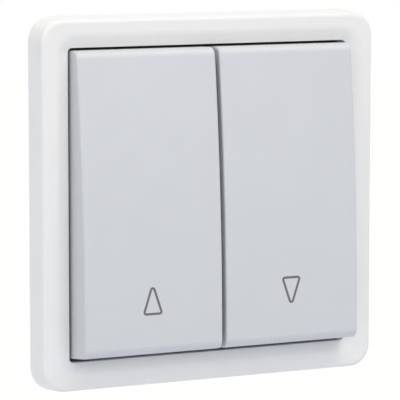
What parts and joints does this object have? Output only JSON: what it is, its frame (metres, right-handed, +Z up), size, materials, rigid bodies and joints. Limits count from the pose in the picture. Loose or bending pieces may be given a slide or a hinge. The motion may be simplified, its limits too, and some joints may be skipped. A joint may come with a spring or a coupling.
{
  "type": "blind switch",
  "caption": "Flush wall switch for a roller blind: square white cover frame with two sprung grey rockers, marked up and down, on a contact insert with push-in terminals.",
  "frame": {"origin": "middle of the cover frame in the wall plane, on the line of the box screws", "axes": "+X to the right as seen from the room, +Y into the wall, +Z up the wall"},
  "size_m": [0.081, 0.0374, 0.081],
  "materials": {
    "white_plastic": "smooth white moulding",
    "grey_plastic": "smooth light blue-grey moulding",
    "dark_plastic": "dark grey moulding",
    "base_plastic": "thermoset moulding",
    "lever_plastic": "orange moulding",
    "plunger_plastic": "natural moulding",
    "zinc_steel": "zinc plated sheet",
    "black_steel": "blackened sheet",
    "spring_steel": "bright spring steel",
    "brass_strip": "punched strip with contact buttons"
  },
  "bodies": {
    "housing": {"cover_frame": "white_plastic", "support_ring": "black_steel", "mechanism_cover": "dark_plastic", "base_housing": "base_plastic", "terminal_cover": "base_plastic", "up_return_spring": "spring_steel", "down_return_spring": "spring_steel", "line_busbar": "brass_strip", "up_link": "brass_strip", "down_link": "brass_strip", "up_load_contact": "brass_strip", "down_load_contact": "brass_strip", "line_clamp_spring": "spring_steel", "up_clamp_spring": "spring_steel", "down_clamp_spring": "spring_steel", "claw_screws": "zinc_steel", "housing_screws": "zinc_steel", "terminal_cover_screws": "zinc_steel"},
    "up_key": {"up_rocker": "grey_plastic", "up_actuator": "plunger_plastic"},
    "down_key": {"down_rocker": "grey_plastic", "down_actuator": "plunger_plastic"},
    "up_carrier": {"up_plunger": "plunger_plastic", "up_contact_bridge": "brass_strip"},
    "down_carrier": {"down_plunger": "plunger_plastic", "down_contact_bridge": "brass_strip"},
    "left_claw_arm": {"left_claw": "zinc_steel"},
    "right_claw_arm": {"right_claw": "zinc_steel"},
    "line_lever": {"line_release_lever": "lever_plastic"},
    "up_lever": {"up_release_lever": "lever_plastic"},
    "down_lever": {"down_release_lever": "lever_plastic"}
  },
  "joints": [
    {"name": "up_rocker_press", "type": "hinge", "parent": "housing", "child": "up_key", "pos_m": [0, -0.004, 0], "axis": [1, 0, 0], "range_deg": [0, 4.2], "stiffness_Nm_per_rad": 0.2, "springref_deg": -10.89},
    {"name": "up_plunger_slide", "type": "slide", "parent": "housing", "child": "up_carrier", "axis": [0, 1, 0], "range_m": [0, 0.00118], "deforming": ["up_return_spring"]},
    {"name": "down_rocker_press", "type": "hinge", "parent": "housing", "child": "down_key", "pos_m": [0, -0.004, 0], "axis": [1, 0, 0], "range_deg": [0, 4.2], "stiffness_Nm_per_rad": 0.2, "springref_deg": -10.89},
    {"name": "down_plunger_slide", "type": "slide", "parent": "housing", "child": "down_carrier", "axis": [0, 1, 0], "range_m": [0, 0.00118], "deforming": ["down_return_spring"]},
    {"name": "left_claw_swing", "type": "hinge", "parent": "housing", "child": "left_claw_arm", "pos_m": [-0.0209, 0.0022, 0.0085], "axis": [0, 0, 1], "range_deg": [0, 12]},
    {"name": "right_claw_swing", "type": "hinge", "parent": "housing", "child": "right_claw_arm", "pos_m": [0.0209, 0.0022, 0.0085], "axis": [0, 0, -1], "range_deg": [0, 12]},
    {"name": "line_lever_press", "type": "slide", "parent": "housing", "child": "line_lever", "axis": [0, -1, 0], "range_m": [0, 0.0012], "stiffness_N_per_m": 1500, "springref_m": -0.0005, "deforming": ["line_clamp_spring"]},
    {"name": "up_lever_press", "type": "slide", "parent": "housing", "child": "up_lever", "axis": [0, -1, 0], "range_m": [0, 0.0012], "stiffness_N_per_m": 1500, "springref_m": -0.0005, "deforming": ["up_clamp_spring"]},
    {"name": "down_lever_press", "type": "slide", "parent": "housing", "child": "down_lever", "axis": [0, -1, 0], "range_m": [0, 0.0012], "stiffness_N_per_m": 1500, "springref_m": -0.0005, "deforming": ["down_clamp_spring"]}
  ],
  "couplings": [
    {"joint": "up_plunger_slide", "follows": "up_rocker_press", "m_per_rad": 0.015996},
    {"joint": "down_plunger_slide", "follows": "down_rocker_press", "m_per_rad": 0.015996}
  ]
}
